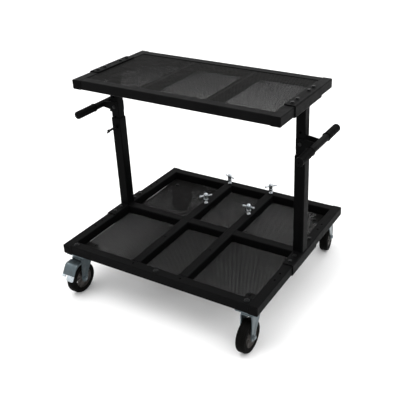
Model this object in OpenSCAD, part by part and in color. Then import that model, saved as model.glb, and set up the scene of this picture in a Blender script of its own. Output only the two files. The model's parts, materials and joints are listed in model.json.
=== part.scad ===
// Two-tier rolling engine stand: a wheeled deck, two telescoping posts and a shelf that lifts with them.
// Millimetres. X runs left to right, Y front to back, Z up. The origin is on the floor, under the middle.

/* [Deck] */
// Width of the deck, left to right
deck_w = 900; // [880:1:940]
// Depth of the deck, front to back
deck_d = 800; // [780:1:840]
// Height of the deck's top above the floor
deck_top = 220; // [218:1:224]
// Outer size of the deck's square tube
deck_tube = 40; // [39:1:41]
// Wall of the frame tubes
tube_wall = 2.5; // [2:0.1:3]
// Distance of each front-to-back bar from the middle
bar_x = 110; // [100:1:130]
// Thickness of the two perforated sheets
sheet_t = 2; // [1.5:0.1:2.5]

/* [Shelf] */
// Depth of the shelf, front to back
shelf_d = 445; // [430:1:470]
// Height of the shelf's top above the floor, at its lowest
shelf_top = 873; // [860:1:890]
// Height of the shelf's tube
shelf_tube_h = 38; // [36:1:40]
// Distance of each shelf cross member from the middle
member_x = 144; // [130:1:160]

/* [Posts] */
// Outer size of the fixed outer post
outer_post = 44; // [44:0.5:46]
// Outer size of the sliding inner post
inner_post = 38; // [37:0.5:38]
// Height of the outer post's top above the deck
outer_top = 421; // [410:1:430]
// Distance between the lock holes
hole_pitch = 45; // [40:1:46]
// Number of pitches that the shelf can be raised
lift_steps = 6; // [4:1:6]

/* [Handles] */
// Distance of each handle bar from the middle
handle_x = 495; // [490:1:505]
// Overall length of a handle with its grips
handle_len = 354; // [330:1:370]

/* [Casters] */
// Distance of each swivel axis from the middle, left to right
caster_x = 398; // [390:1:400]
// Distance of each swivel axis from the middle, front to back
caster_y = 344; // [335:1:346]
// Radius of the wheel over its tyre
wheel_r = 65; // [63:0.5:66]
// Width of the tyre
wheel_w = 38; // [36:1:38]
// Distance of the axle from the swivel axis
trail = 38; // [35:1:40]
// Angle that the back right caster is swung round, in degrees
swung = 10; // [0:1:20]

/* [Hidden] */
$fn = 48;
plate_t = 4;                                  // bracket plate
run_gap = 0.05;                               // radial running clearance of pins and axles
slide_gap = 0.2;                              // clearance on each side of the sliding post
bolt_r = 4;
bolt_hole_r = 4.5;
head_r = 7.5;
head_h = 5.3;
nut_h = 6.5;

post_x = deck_w/2 - deck_tube/2;              // rail and post centre line
rail_in_x = deck_w/2 - deck_tube;             // inner face of a deck end rail
rail_in_y = deck_d/2 - deck_tube;             // inner face of the front or back rail
rail_y = deck_d/2 - deck_tube/2;
deck_low = deck_top - deck_tube;
bar_h = deck_tube - sheet_t;
bar_holes_y = 162;
rail_holes_y = rail_y - 2;
spare_holes_y = [180, 225];
front_bolt_x = 396;
plug_head = 2;
plug_depth = 4;

shelf_low = shelf_top - shelf_tube_h;
shelf_in_y = shelf_d/2 - deck_tube;
rim = 2;                                      // depth of the shelf sheet below the rim
member_h = shelf_tube_h - rim - sheet_t;

bracket_len = 230;
bracket_bolts_y = [50, 92];

outer_wall = (outer_post - inner_post)/2 - slide_gap;
inner_wall = 3;
post_low = deck_top + plate_t;
stop_h = 12;
inner_low = post_low + stop_h;
inner_high = shelf_low - plate_t;
pin_z = deck_top + 382;
pin_r = 4.95;
boss_r = 9;
boss_len = 5;
pin_tip_y = outer_post/2 - outer_wall + 0.3;
pin_out = 54;                                 // straight length of the pin outside the post
pin_tail = 14;                                // bent end of the pin
pin_tail_r = 3.6;

clamp_z = pin_z + 2*hole_pitch;
clamp_h = 44;
clamp_t = 3;
clamp_back = 17;                              // how far the plates reach back past the post's middle
bar_z = clamp_z + 5;
bar_r = 14;
arm_half = 12;                                // half height of the plates where they meet the bar
grip_r = 16.5;
grip_flange_r = 18;
grip_in = 72;
grip_cap = 7;

caster_h = deck_low;                          // floor to the top of the mounting plate
top_plate = [92, 110, 5];
plate_hole = [34, 43];
king_r = 6;
crown_t = 5;
crown_z = caster_h - 21;                      // underside of the fork's crown
leg_in = 21;
leg_t = 4;
axle_r = 5;
hub_r = 48;
pedal_pivot = [-34, caster_h - 32];
trunnion_r = 4;
hood_w = 60;

screw_r = 4;
screw_gap = 12;                               // bare shank between the bar and the hub
screw_hub_r = 10.5;
screw_hub_h = 38;
tommy_len = 60;
tommy_r = 3.6;

// ---- shared shapes ----

// A rectangle with round corners, about the origin
module rounded(w, h, r) {
    square([w - 2*r, h], center = true);
    square([w, h - 2*r], center = true);
    for (sx = [-1, 1], sy = [-1, 1])
        translate([sx*(w/2 - r), sy*(h/2 - r)])
            circle(r);
}

// The section of a square tube
module tube_section(w, h, wall) {
    difference() {
        rounded(w, h, 4);
        rounded(w - 2*wall, h - 2*wall, 1.5);
    }
}

module tube_x(len, h) {
    rotate([90, 0, 90])
        linear_extrude(len, center = true)
            tube_section(deck_tube, h, tube_wall);
}

module tube_y(len, h) {
    rotate([90, 0, 0])
        linear_extrude(len, center = true)
            tube_section(deck_tube, h, tube_wall);
}

// A vertical hole for a bolt, from z to z + h
module drill(x, y, z, h, r = bolt_hole_r) {
    translate([x, y, z])
        cylinder(h = h, r = r);
}

// A flat shape drawn in Y and Z, made w wide about x
module slab_yz(w, x = 0) {
    translate([x, 0, 0])
        rotate([90, 0, 90])
            linear_extrude(w, center = true)
                children();
}

// A hexagon bolt pointing down, with its head standing on z
module hex_bolt(x, y, z, len) {
    translate([x, y, z]) {
        cylinder(h = head_h, r = head_r, $fn = 6);
        translate([0, 0, -len])
            cylinder(h = len + 1, r = bolt_r);
    }
}

// A hexagon nut, from z up
module hex_nut(x, y, z) {
    translate([x, y, z])
        difference() {
            cylinder(h = nut_h, r = head_r, $fn = 6);
            translate([0, 0, -1])
                cylinder(h = nut_h + 2, r = bolt_r + run_gap);
        }
}

// ---- deck ----

module deck_side_rail(side) {
    color("#232527")
        difference() {
            translate([side*post_x, 0, deck_top - deck_tube/2])
                tube_y(deck_d, deck_tube);
            for (sy = [-1, 1]) {
                for (y = concat(bracket_bolts_y, spare_holes_y))
                    drill(side*post_x, sy*y, deck_low - 1, deck_tube + 2);
                for (hy = [-1, 1])
                    drill(side*(caster_x + plate_hole[0]), sy*caster_y + hy*plate_hole[1], deck_low - 1, 6);
            }
        }
}

module deck_end_rail(side) {
    color("#232527")
        difference() {
            translate([0, side*rail_y, deck_top - deck_tube/2])
                tube_x(2*rail_in_x, deck_tube);
            for (sx = [-1, 1]) {
                drill(sx*bar_x, side*rail_holes_y, deck_top - 6, 8, screw_r + run_gap);
                drill(sx*(caster_x - plate_hole[0]), side*(caster_y + plate_hole[1]), deck_low - 1, 6);
            }
            if (side < 0)
                for (i = [-1, 0, 1])
                    drill(i*front_bolt_x, -rail_y, deck_top - 6, 8);
        }
}

module deck_bars() {
    color("#232527")
        for (sx = [-1, 1])
            difference() {
                translate([sx*bar_x, 0, deck_top - bar_h/2])
                    tube_y(2*rail_in_y, bar_h);
                for (sy = [-1, 1])
                    drill(sx*bar_x, sy*bar_holes_y, deck_top - 6, 8, screw_r + run_gap);
            }
}

// Three lengths that run from post to post, broken by the two bars
module deck_cross_member() {
    mid_len = 2*(bar_x - deck_tube/2);
    side_len = rail_in_x - bar_x - deck_tube/2;
    color("#232527")
        translate([0, 0, deck_top - bar_h/2]) {
            tube_x(mid_len, bar_h);
            for (sx = [-1, 1])
                translate([sx*(rail_in_x - side_len/2), 0, 0])
                    tube_x(side_len, bar_h);
        }
}

// The perforated sheet, as a plain sheet on the underside of the deck
module deck_mesh() {
    color("#3a3c3e")
        difference() {
            translate([-rail_in_x, -rail_in_y, deck_low])
                cube([2*rail_in_x, 2*rail_in_y, sheet_t]);
            for (sx = [-1, 1], sy = [-1, 1])
                drill(sx*(caster_x - plate_hole[0]), sy*(caster_y - plate_hole[1]), deck_low - 1, 6);
        }
}

// A moulded plug that closes the end of a tube, with its head pointing along -Y
module end_plug(h) {
    rotate([90, 0, 0]) {
        linear_extrude(plug_head)
            rounded(deck_tube, h, 4);
        translate([0, 0, -plug_depth])
            linear_extrude(plug_depth)
                rounded(deck_tube - 2*tube_wall - 0.4, h - 2*tube_wall - 0.4, 1.5);
    }
}

module end_plugs(depth, h, top) {
    color("#151515")
        for (sx = [-1, 1], turn = [0, 180])
            rotate([0, 0, turn])
                translate([sx*post_x, -depth/2, top - h/2])
                    end_plug(h);
}

// Button-head screws along the front rail, in rivet nuts
module front_rail_bolts() {
    color("#3c3e40")
        for (i = [-1, 0, 1])
            translate([i*front_bolt_x, -rail_y, deck_top]) {
                rotate_extrude()
                    polygon([
                        [0, 0], [11, 0], [11, 1.5], [9.5, 4],
                        [6.5, 5.8], [3.2, 6.6], [3.2, 4], [0, 4]
                    ]);
                translate([0, 0, -18])
                    cylinder(h = 19, r = bolt_r);
            }
}

// ---- posts and brackets ----

// A channel that wraps an end rail of height h: top flange, outer web and bottom flange
module rail_bracket(side, h, top) {
    half = deck_tube/2;
    color("#1d1f20")
        rotate([0, 0, side > 0 ? 0 : 180])
            difference() {
                translate([post_x, 0, top - h/2])
                    rotate([90, 0, 0])
                        linear_extrude(bracket_len, center = true)
                            difference() {
                                rounded(2*(half + plate_t), h + 2*plate_t, 6);
                                square([deck_tube, h], center = true);
                                translate([-half - plate_t - 1, -h])
                                    square([plate_t + 1, 2*h]);
                            }
                for (sy = [-1, 1], y = bracket_bolts_y)
                    drill(post_x, sy*y, top - h - plate_t - 1, h + 2*plate_t + 2);
            }
}

// Bolts and nuts of the two brackets on one tier
module bracket_fasteners(h, top) {
    bolt_len = h + 2*plate_t + nut_h + 1.5;
    color("#4a4c4e")
        for (sx = [-1, 1], sy = [-1, 1], y = bracket_bolts_y) {
            hex_bolt(sx*post_x, sy*y, top + plate_t, bolt_len);
            hex_nut(sx*post_x, sy*y, top - h - plate_t - nut_h);
        }
}

// The fixed post, with the boss that guides its lock pin
module outer_post_tube(side) {
    color("#1d1f20")
        rotate([0, 0, side > 0 ? 0 : 180])
            translate([post_x, 0, 0])
                difference() {
                    union() {
                        translate([0, 0, post_low])
                            linear_extrude(deck_top + outer_top - post_low)
                                difference() {
                                    rounded(outer_post, outer_post, 4);
                                    rounded(outer_post - 2*outer_wall, outer_post - 2*outer_wall, 1.5);
                                }
                        translate([0, outer_post/2 - 1, pin_z])
                            rotate([-90, 0, 0])
                                cylinder(h = boss_len + 1, r = boss_r);
                    }
                    translate([0, outer_post/2 - outer_wall - 1, pin_z])
                        rotate([-90, 0, 0])
                            cylinder(h = boss_len + outer_wall + 2, r = pin_r + run_gap);
                    translate([0, -outer_post/2 - 1, pin_z])
                        rotate([-90, 0, 0])
                            cylinder(h = outer_wall + 2, r = pin_r + run_gap);
                }
}

// A block inside the foot of each outer post, where the inner post comes to rest
module post_stops() {
    color("#2b2d2f")
        for (sx = [-1, 1])
            translate([sx*post_x, 0, post_low])
                linear_extrude(stop_h)
                    rounded(outer_post - 2*outer_wall - 1, outer_post - 2*outer_wall - 1, 2);
}

// The sliding post, drilled along its length for the lock pin
module inner_post_tube(side) {
    color("#26282a")
        difference() {
            translate([side*post_x, 0, inner_low])
                linear_extrude(inner_high - inner_low)
                    difference() {
                        rounded(inner_post, inner_post, 3);
                        rounded(inner_post - 2*inner_wall, inner_post - 2*inner_wall, 1);
                    }
            for (j = [-lift_steps : 3])
                translate([side*post_x, inner_post, pin_z + j*hole_pitch])
                    rotate([90, 0, 0])
                        cylinder(h = 2*inner_post, r = pin_r + run_gap);
        }
}

// A bent pin, drawn out: its straight shank waits in the boss, and its handle is folded down
module lock_pin(side) {
    color("#18191a")
        rotate([0, 0, side > 0 ? 0 : 180])
            translate([post_x, 0, pin_z]) {
                translate([0, pin_tip_y, 0])
                    rotate([-90, 0, 0]) {
                        cylinder(h = 2, r1 = pin_r - 1.5, r2 = pin_r);
                        translate([0, 0, 2])
                            cylinder(h = pin_out, r = pin_r);
                    }
                translate([0, pin_tip_y + pin_out - 1, 0])
                    rotate([-125, 0, 0])
                        cylinder(h = pin_tail, r = pin_tail_r);
            }
}

// ---- handles ----

// One side plate of a handle bracket, from the post's centre out to its hollow end, where the bar is welded
module handle_plate() {
    arm = handle_x - post_x;
    rise = bar_z - clamp_z;
    shoulder = inner_post/2 + 5;
    reach = arm - bar_r/2;
    difference() {
        union() {
            translate([-clamp_back, -clamp_h/2])
                square([clamp_back + shoulder, clamp_h]);
            polygon([
                [0, rise - arm_half - 5], [shoulder, rise - arm_half - 5], [reach, rise - arm_half],
                [reach, rise + arm_half], [shoulder, clamp_h/2], [0, clamp_h/2]
            ]);
        }
        translate([arm, rise])
            circle(bar_r + run_gap);
    }
}

module handle_bracket(side) {
    inside = inner_post/2 + slide_gap;
    color("#1d1f20")
        rotate([0, 0, side > 0 ? 0 : 180])
            translate([post_x, 0, clamp_z])
                difference() {
                    union() {
                        for (sy = [-1, 1])
                            translate([0, sy*(inside + clamp_t/2), 0])
                                rotate([90, 0, 0])
                                    linear_extrude(clamp_t, center = true)
                                        handle_plate();
                        translate([inside, -inside - 1, -clamp_h/2])
                            cube([clamp_t, 2*inside + 2, clamp_h]);
                    }
                    translate([0, inner_post, 0])
                        rotate([90, 0, 0])
                            cylinder(h = 2*inner_post, r = pin_r + run_gap);
                }
}

module handle_bracket_fasteners() {
    face = inner_post/2 + slide_gap + clamp_t;
    color("#4a4c4e")
        for (sx = [-1, 1])
            translate([sx*post_x, 0, clamp_z])
                rotate([90, 0, 0]) {
                    translate([0, 0, face])
                        rotate_extrude()
                            polygon([
                                [0, 0], [7.5, 0], [7.2, 2], [5.8, 3.8],
                                [3.2, 4.6], [3.2, 2], [0, 2]
                            ]);
                    translate([0, 0, -face - nut_h - 2])
                        cylinder(h = 2*face + nut_h + 3, r = bolt_r);
                    hex_nut(0, 0, -face - nut_h);
                }
}

module handle_bars() {
    bar_len = handle_len - 2*grip_cap;
    color("#1d1f20")
        for (sx = [-1, 1])
            translate([sx*handle_x, 0, bar_z])
                rotate([90, 0, 0])
                    difference() {
                        cylinder(h = bar_len, r = bar_r, center = true);
                        cylinder(h = bar_len + 2, r = bar_r - 2, center = true);
                    }
}

// Rubber grips with a flange at the inner end and a closed outer end
module handle_grips() {
    out = handle_len/2;
    inner_r = bar_r + run_gap;
    color("#141414")
        for (sx = [-1, 1], turn = [0, 180])
            rotate([0, 0, turn])
                translate([sx*handle_x, 0, bar_z])
                    rotate([90, 0, 0])
                        rotate_extrude()
                            polygon([
                                [inner_r, grip_in], [grip_flange_r, grip_in], [grip_flange_r, grip_in + 4],
                                [grip_r, grip_in + 6], [grip_r, out - 5], [grip_r - 2, out - 1.5],
                                [grip_r - 5, out], [2.5, out], [2.5, out - grip_cap + 0.3],
                                [inner_r, out - grip_cap + 0.3]
                            ]);
}

// ---- shelf ----

module shelf_side_rail(side) {
    color("#2c2e30")
        difference() {
            translate([side*post_x, 0, shelf_top - shelf_tube_h/2])
                tube_y(shelf_d, shelf_tube_h);
            for (sy = [-1, 1], y = bracket_bolts_y)
                drill(side*post_x, sy*y, shelf_low - 1, shelf_tube_h + 2);
        }
}

module shelf_end_rail(side) {
    color("#2c2e30")
        translate([0, side*(shelf_d/2 - deck_tube/2), shelf_top - shelf_tube_h/2])
            tube_x(2*rail_in_x, shelf_tube_h);
}

module shelf_cross_members() {
    color("#2c2e30")
        for (sx = [-1, 1])
            translate([sx*member_x, 0, shelf_low + member_h/2])
                tube_y(2*shelf_in_y, member_h);
}

// The perforated sheet, as a plain sheet on top of the cross members
module shelf_mesh() {
    color("#454749")
        translate([-rail_in_x, -shelf_in_y, shelf_top - rim - sheet_t])
            cube([2*rail_in_x, 2*shelf_in_y, sheet_t]);
}

// ---- casters ----

// Puts a caster at a corner, where sx and sy are -1 or 1. The front ones point to the front and the back
// ones to the back, apart from the back right one, which is swung round by a few degrees.
module at_corner(sx, sy) {
    swing = sx > 0 && sy > 0 ? swung : 0;
    translate([sx*caster_x, sy*caster_y, 0])
        rotate([0, 0, (sy < 0 ? 0 : 180) + swing])
            children();
}

// Mounting plates, each with its kingpin and the lip of the ball race
module caster_top_plates() {
    plate_low = caster_h - top_plate[2];
    head_z = crown_z - 6;
    color("#a9b1b5")
        for (sx = [-1, 1], sy = [-1, 1])
            translate([sx*caster_x, sy*caster_y, 0]) {
                difference() {
                    translate([0, 0, plate_low])
                        linear_extrude(top_plate[2])
                            rounded(top_plate[0], top_plate[1], 8);
                    for (hx = [-1, 1], hy = [-1, 1])
                        drill(hx*plate_hole[0], hy*plate_hole[1], plate_low - 1, top_plate[2] + 2);
                }
                translate([0, 0, head_z])
                    cylinder(h = 5.7, r = 11);
                translate([0, 0, head_z])
                    cylinder(h = plate_low - head_z + 1, r = king_r);
                difference() {
                    translate([0, 0, plate_low - 4])
                        cylinder(h = 5, r = 35);
                    translate([0, 0, plate_low - 5])
                        cylinder(h = 5, r = 32);
                }
            }
}

// Bolts from below: three into nuts inside the rails, and one through the sheet
module caster_plate_fasteners() {
    plate_low = caster_h - top_plate[2];
    color("#8d9498")
        for (sx = [-1, 1], sy = [-1, 1], hx = [-1, 1], hy = [-1, 1]) {
            x = sx*(caster_x + hx*plate_hole[0]);
            y = sy*(caster_y + hy*plate_hole[1]);
            over_sheet = hx < 0 && hy < 0;
            translate([x, y, plate_low - head_h])
                cylinder(h = head_h, r = head_r, $fn = 6);
            drill(x, y, plate_low - 1, 18, bolt_r);
            hex_nut(x, y, deck_low + (over_sheet ? sheet_t : tube_wall));
        }
}

// Fork: swivel head, crown and two legs. A braked one is drilled for the brake lever's trunnion.
module fork(sx, sy, braked = false) {
    color("#9aa5ab")
        at_corner(sx, sy)
            difference() {
                union() {
                    translate([0, 0, crown_z + crown_t - 1])
                        cylinder(h = caster_h - top_plate[2] - 0.3 - crown_z - crown_t + 1, r = 30);
                    translate([-leg_in - leg_t, -46, crown_z])
                        cube([2*(leg_in + leg_t), 62, crown_t]);
                    for (s = [-1, 1])
                        slab_yz(leg_t, s*(leg_in + leg_t/2)) {
                            polygon([
                                [16, crown_z + crown_t], [16, crown_z - 14], [-trail + 16, wheel_r],
                                [-trail - 16, wheel_r], [-46, crown_z - 14], [-46, crown_z + crown_t]
                            ]);
                            translate([-trail, wheel_r])
                                circle(16);
                        }
                }
                translate([0, 0, crown_z - 1])
                    cylinder(h = 30, r = king_r + run_gap);
                slab_yz(80)
                    translate([-trail, wheel_r])
                        circle(axle_r + run_gap);
                if (braked)
                    slab_yz(80)
                        translate(pedal_pivot)
                            circle(trunnion_r + run_gap);
            }
}

// Axle bolt with its head and its nut
module axle(sx, sy) {
    leg_out = leg_in + leg_t;
    color("#8d9498")
        at_corner(sx, sy) {
            slab_yz(2*leg_out + 2)
                translate([-trail, wheel_r])
                    circle(axle_r);
            slab_yz(6.5, -leg_out - 3.25)
                translate([-trail, wheel_r])
                    circle(8.5, $fn = 6);
            slab_yz(8, leg_out + 4)
                translate([-trail, wheel_r])
                    circle(8.5, $fn = 6);
        }
}

// Turns a profile drawn as radius and width about the wheel's axis
module wheel_turn(sx, sy) {
    at_corner(sx, sy)
        translate([0, -trail, wheel_r])
            rotate([0, 90, 0])
                children();
}

// Cast wheel centre: boss, pierced web and rim
module hub(sx, sy) {
    boss_w = leg_in - slide_gap;
    color("#8b8781")
        wheel_turn(sx, sy)
            difference() {
                rotate_extrude()
                    polygon([
                        [axle_r + run_gap, -boss_w], [13, -boss_w], [15, -5], [41, -5],
                        [43, -17], [hub_r, -17], [hub_r, 17], [43, 17],
                        [41, 5], [15, 5], [13, boss_w], [axle_r + run_gap, boss_w]
                    ]);
                for (a = [0 : 60 : 300])
                    rotate([0, 0, a])
                        translate([28, 0, -10])
                            cylinder(h = 20, r = 8);
            }
}

module tyre(sx, sy) {
    half = wheel_w/2;
    color("#1b1b1b")
        wheel_turn(sx, sy)
            rotate_extrude()
                polygon([
                    [hub_r, -17], [hub_r + 4, -half],
                    [wheel_r - 5, -half + 0.5], [wheel_r - 1.5, -half + 4],
                    [wheel_r, -half + 10], [wheel_r, half - 10], [wheel_r - 1.5, half - 4],
                    [wheel_r - 5, half - 0.5], [hub_r + 4, half], [hub_r, 17]
                ]);
}

// Brake lever: trunnion, hood over the front of the wheel, brake pad and two foot tabs
module pedal(sx, sy) {
    z = pedal_pivot[1];
    color("#c9d1d4")
        at_corner(sx, sy) {
            slab_yz(2*(leg_in + leg_t) + 3)
                translate(pedal_pivot)
                    circle(trunnion_r);
            slab_yz(2*leg_in - 2) {
                translate(pedal_pivot)
                    circle(8.5);
                polygon([[-34, z + 4], [-52, z + 4], [-52, z], [-34, z]]);
            }
            slab_yz(hood_w)
                polygon([
                    [-50, z + 4], [-80, z + 2.5], [-105, z - 35.5],
                    [-101.7, z - 37.7], [-78, z - 1.5], [-50, z]
                ]);
            for (s = [-1, 1])
                slab_yz(3, s*(hood_w/2 - 1.5))
                    polygon([
                        [-50, z + 2], [-79, z + 1], [-103, z - 35.5],
                        [-93, z - 35.5], [-68, z - 9], [-50, z - 7]
                    ]);
            slab_yz(30)
                polygon([[-83, z - 9], [-97, z - 30.5], [-93.6, z - 32.7], [-79.6, z - 11.2]]);
            slab_yz(34, 13)
                polygon([[-105, z - 35.5], [-119, z - 56], [-115.5, z - 58.2], [-101.7, z - 37.7]]);
            slab_yz(18, -21)
                polygon([[-105, z - 35.5], [-112, z - 45.7], [-108.6, z - 47.8], [-101.7, z - 37.7]]);
        }
}

// ---- clamping screws ----

// A screw with a hub and a tommy bar turned by angle a; it stands on the bar or rail at x, y
module t_screw(x, y, a) {
    hub_z = screw_gap;
    color("#c9ced0")
        translate([x, y, deck_top])
            rotate([0, 0, a]) {
                translate([0, 0, -24])
                    cylinder(h = 24 + screw_gap + 1, r = screw_r);
                translate([0, 0, 0.3])
                    cylinder(h = 2, r = 9);
                translate([0, 0, hub_z])
                    rotate_extrude()
                        polygon([
                            [0, 0], [6.5, 0], [screw_hub_r, 3], [screw_hub_r, screw_hub_h - 6],
                            [screw_hub_r - 1.5, screw_hub_h - 2],
                            [screw_hub_r - 5, screw_hub_h], [0, screw_hub_h]
                        ]);
                translate([0, 0, hub_z + 24])
                    rotate([0, 90, 0]) {
                        cylinder(h = tommy_len - 6, r = tommy_r, center = true);
                        for (s = [-1, 1])
                            translate([0, 0, s*(tommy_len/2 - 3)])
                                cylinder(h = 6, r = tommy_r + 1.2, center = true);
                    }
            }
}

// ---- nodes ----

deck_end_rail(-1);  // deck_front_rail
deck_end_rail(1);  // deck_back_rail
deck_side_rail(-1);  // deck_left_rail
deck_side_rail(1);  // deck_right_rail
deck_bars();
deck_cross_member();
deck_mesh();
end_plugs(deck_d, deck_tube, deck_top);  // deck_end_plugs
front_rail_bolts();
rail_bracket(-1, deck_tube, deck_top);  // left_base_bracket
rail_bracket(1, deck_tube, deck_top);  // right_base_bracket
bracket_fasteners(deck_tube, deck_top);  // base_bracket_fasteners
outer_post_tube(-1);  // left_outer_post
outer_post_tube(1);  // right_outer_post
post_stops();
caster_top_plates();
caster_plate_fasteners();
fork(-1, -1, braked = true);  // front_left_fork
fork(1, -1);  // front_right_fork
fork(-1, 1, braked = true);  // back_left_fork
fork(1, 1);  // back_right_fork
axle(-1, -1);  // front_left_axle
axle(1, -1);  // front_right_axle
axle(-1, 1);  // back_left_axle
axle(1, 1);  // back_right_axle
hub(-1, -1);  // front_left_hub
hub(1, -1);  // front_right_hub
hub(-1, 1);  // back_left_hub
hub(1, 1);  // back_right_hub
tyre(-1, -1);  // front_left_tyre
tyre(1, -1);  // front_right_tyre
tyre(-1, 1);  // back_left_tyre
tyre(1, 1);  // back_right_tyre
pedal(-1, -1);  // front_left_pedal
pedal(-1, 1);  // back_left_pedal
t_screw(-bar_x, bar_holes_y, 45);  // bar_screw_left
t_screw(bar_x, bar_holes_y, 0);  // bar_screw_right
t_screw(-bar_x, rail_holes_y, -20);  // rail_screw_left
t_screw(bar_x, rail_holes_y, 45);  // rail_screw_right
lock_pin(-1);  // left_lock_pin
lock_pin(1);  // right_lock_pin
shelf_end_rail(-1);  // shelf_front_rail
shelf_end_rail(1);  // shelf_back_rail
shelf_side_rail(-1);  // shelf_left_rail
shelf_side_rail(1);  // shelf_right_rail
shelf_cross_members();
shelf_mesh();
end_plugs(shelf_d, shelf_tube_h, shelf_top);  // shelf_end_plugs
inner_post_tube(-1);  // left_inner_post
inner_post_tube(1);  // right_inner_post
rail_bracket(-1, shelf_tube_h, shelf_top);  // left_top_bracket
rail_bracket(1, shelf_tube_h, shelf_top);  // right_top_bracket
bracket_fasteners(shelf_tube_h, shelf_top);  // top_bracket_fasteners
handle_bracket(-1);  // left_handle_bracket
handle_bracket(1);  // right_handle_bracket
handle_bracket_fasteners();
handle_bars();
handle_grips();
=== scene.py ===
# Looks of the rolling engine stand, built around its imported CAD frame.
# Shapes are drawn in millimetres and become metres in make().
import json
import math

import bmesh
import bpy
from mathutils import Matrix, Vector


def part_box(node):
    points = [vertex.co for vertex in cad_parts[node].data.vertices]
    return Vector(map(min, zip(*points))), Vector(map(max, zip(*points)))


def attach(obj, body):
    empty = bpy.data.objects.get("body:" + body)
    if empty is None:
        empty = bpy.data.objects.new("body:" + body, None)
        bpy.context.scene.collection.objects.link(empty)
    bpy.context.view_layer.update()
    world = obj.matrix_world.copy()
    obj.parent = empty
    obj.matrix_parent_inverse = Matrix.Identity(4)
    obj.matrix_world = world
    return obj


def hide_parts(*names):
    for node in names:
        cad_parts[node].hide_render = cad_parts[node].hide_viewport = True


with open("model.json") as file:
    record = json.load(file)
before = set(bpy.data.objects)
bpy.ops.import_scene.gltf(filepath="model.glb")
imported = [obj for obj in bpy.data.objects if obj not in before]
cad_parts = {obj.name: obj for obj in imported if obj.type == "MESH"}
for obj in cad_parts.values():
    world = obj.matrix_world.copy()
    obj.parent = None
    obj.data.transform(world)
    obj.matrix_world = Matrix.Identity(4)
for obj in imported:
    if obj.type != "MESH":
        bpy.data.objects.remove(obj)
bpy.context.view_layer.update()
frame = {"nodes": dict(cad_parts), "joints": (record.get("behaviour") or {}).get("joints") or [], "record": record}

MM = 0.001
JOINTS = {j["name"]: j for j in frame["joints"]}
CORNERS = ["front_left", "front_right", "back_left", "back_right"]
SIDES = {"left": -1, "right": 1}

# Shared places, in millimetres
RAIL_X = 430.0  # middle of the end rails and the posts
TUBE_HALF = 20.0  # half the width of the deck's and the shelf's tubes
BRACKET_BOLTS_Y = (50, 92)

# Camera, as the object is seen: it stands in front, a little to the right, and looks down
VIEW_AZIMUTH = 29.17
VIEW_ELEVATION = 25.68
VIEW_ROLL = -1.07
VIEW_LENS = 59.08
VIEW_DISTANCE = 2.58
VIEW_TARGET = (0.19, 0.0, 0.555)
VIEW_SHIFT = (-0.1143, -0.0925)


# ---- shapes ----


class Shape:
    """Collects the points and faces of one piece, in millimetres."""

    def __init__(self):
        self.points = []
        self.faces = []

    def add(self, part, place=None):
        """Adds (points, faces), moved by the matrix place, and returns self."""
        points, faces = part
        first = len(self.points)
        self.points += [place @ Vector(p) if place else Vector(p) for p in points]
        self.faces += [[first + i for i in face] for face in faces]
        return self


def at(x, y, z):
    return Matrix.Translation((x, y, z))


def turned(axis, degrees):
    return Matrix.Rotation(math.radians(degrees), 4, axis)


def box_of(node):
    """Lowest and highest corner of a CAD node, in millimetres."""
    low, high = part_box(node)
    return low / MM, high / MM


def joint_at(name):
    return Vector(JOINTS[name]["pos_m"]) / MM


def polar(radius, degrees):
    a = math.radians(degrees)
    return radius * math.cos(a), radius * math.sin(a)


def quarter(steps):
    """Cosine and sine at equal steps from 0 to 90 degrees."""
    turns = [math.pi / 2 * i / steps for i in range(steps + 1)]
    return [(math.cos(a), math.sin(a)) for a in turns]


def circle(radius, count, phase=0.0):
    steps = [2 * math.pi * i / count + phase for i in range(count)]
    return [(radius * math.cos(a), radius * math.sin(a)) for a in steps]


def lattice(rows, wrap=False, caps=False, loop=False):
    """Quads through rows of points. wrap joins each row's ends, loop the last row to the first."""
    width = len(rows[0])
    points = [p for row in rows for p in row]
    faces = []
    last_row = len(rows) if loop else len(rows) - 1
    last_column = width if wrap else width - 1
    for r in range(last_row):
        here, there = r * width, (r + 1) % len(rows) * width
        for c in range(last_column):
            d = (c + 1) % width
            faces.append([here + c, here + d, there + d, there + c])
    if caps:
        faces.append(list(range(width))[::-1])
        faces.append([(len(rows) - 1) * width + c for c in range(width)])
    return points, faces


def lathe(profile, count=48, closed=False):
    """A profile of (radius, height) turned about Z: a ring if closed, and otherwise capped."""
    rows = [[(x, y, z) for x, y in circle(max(r, 0.01), count)] for r, z in profile]
    return lattice(rows, wrap=True, caps=not closed, loop=closed)


def prism(outline, low, high):
    """A flat outline made solid between two heights."""
    rows = [[(x, y, z) for x, y in outline] for z in (low, high)]
    return lattice(rows, wrap=True, caps=True)


def slab_yz(outline, width, x=0.0):
    """A solid drawn in Y and Z, width wide about x."""
    rows = [[(x + s * width / 2, y, z) for y, z in outline] for s in (-1, 1)]
    return lattice(rows, wrap=True, caps=True)


def rounded_outline(width, height, radius, steps=6):
    """A rectangle with round corners, as points."""
    points = []
    for k, (sx, sy) in enumerate([(1, 1), (-1, 1), (-1, -1), (1, -1)]):
        centre = (sx * (width / 2 - radius), sy * (height / 2 - radius))
        for i in range(steps + 1):
            a = math.pi / 2 * (k + i / steps)
            points.append((centre[0] + radius * math.cos(a), centre[1] + radius * math.sin(a)))
    return points


def sweep(path, radius_at, count=12):
    """A round bar along path. radius_at gives its radius from the share of the path's length."""
    path = [Vector(p) for p in path]
    lengths = [0.0]
    for a, b in zip(path, path[1:]):
        lengths.append(lengths[-1] + (b - a).length)
    side = (path[1] - path[0]).orthogonal().normalized()
    rows = []
    for i, p in enumerate(path):
        ahead = (path[min(i + 1, len(path) - 1)] - path[max(i - 1, 0)]).normalized()
        side = (side - ahead * side.dot(ahead)).normalized()
        other = ahead.cross(side)
        radius = radius_at(lengths[i] / lengths[-1])
        rows.append([p + side * x + other * y for x, y in circle(radius, count)])
    return lattice(rows, wrap=True, caps=True)


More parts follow.
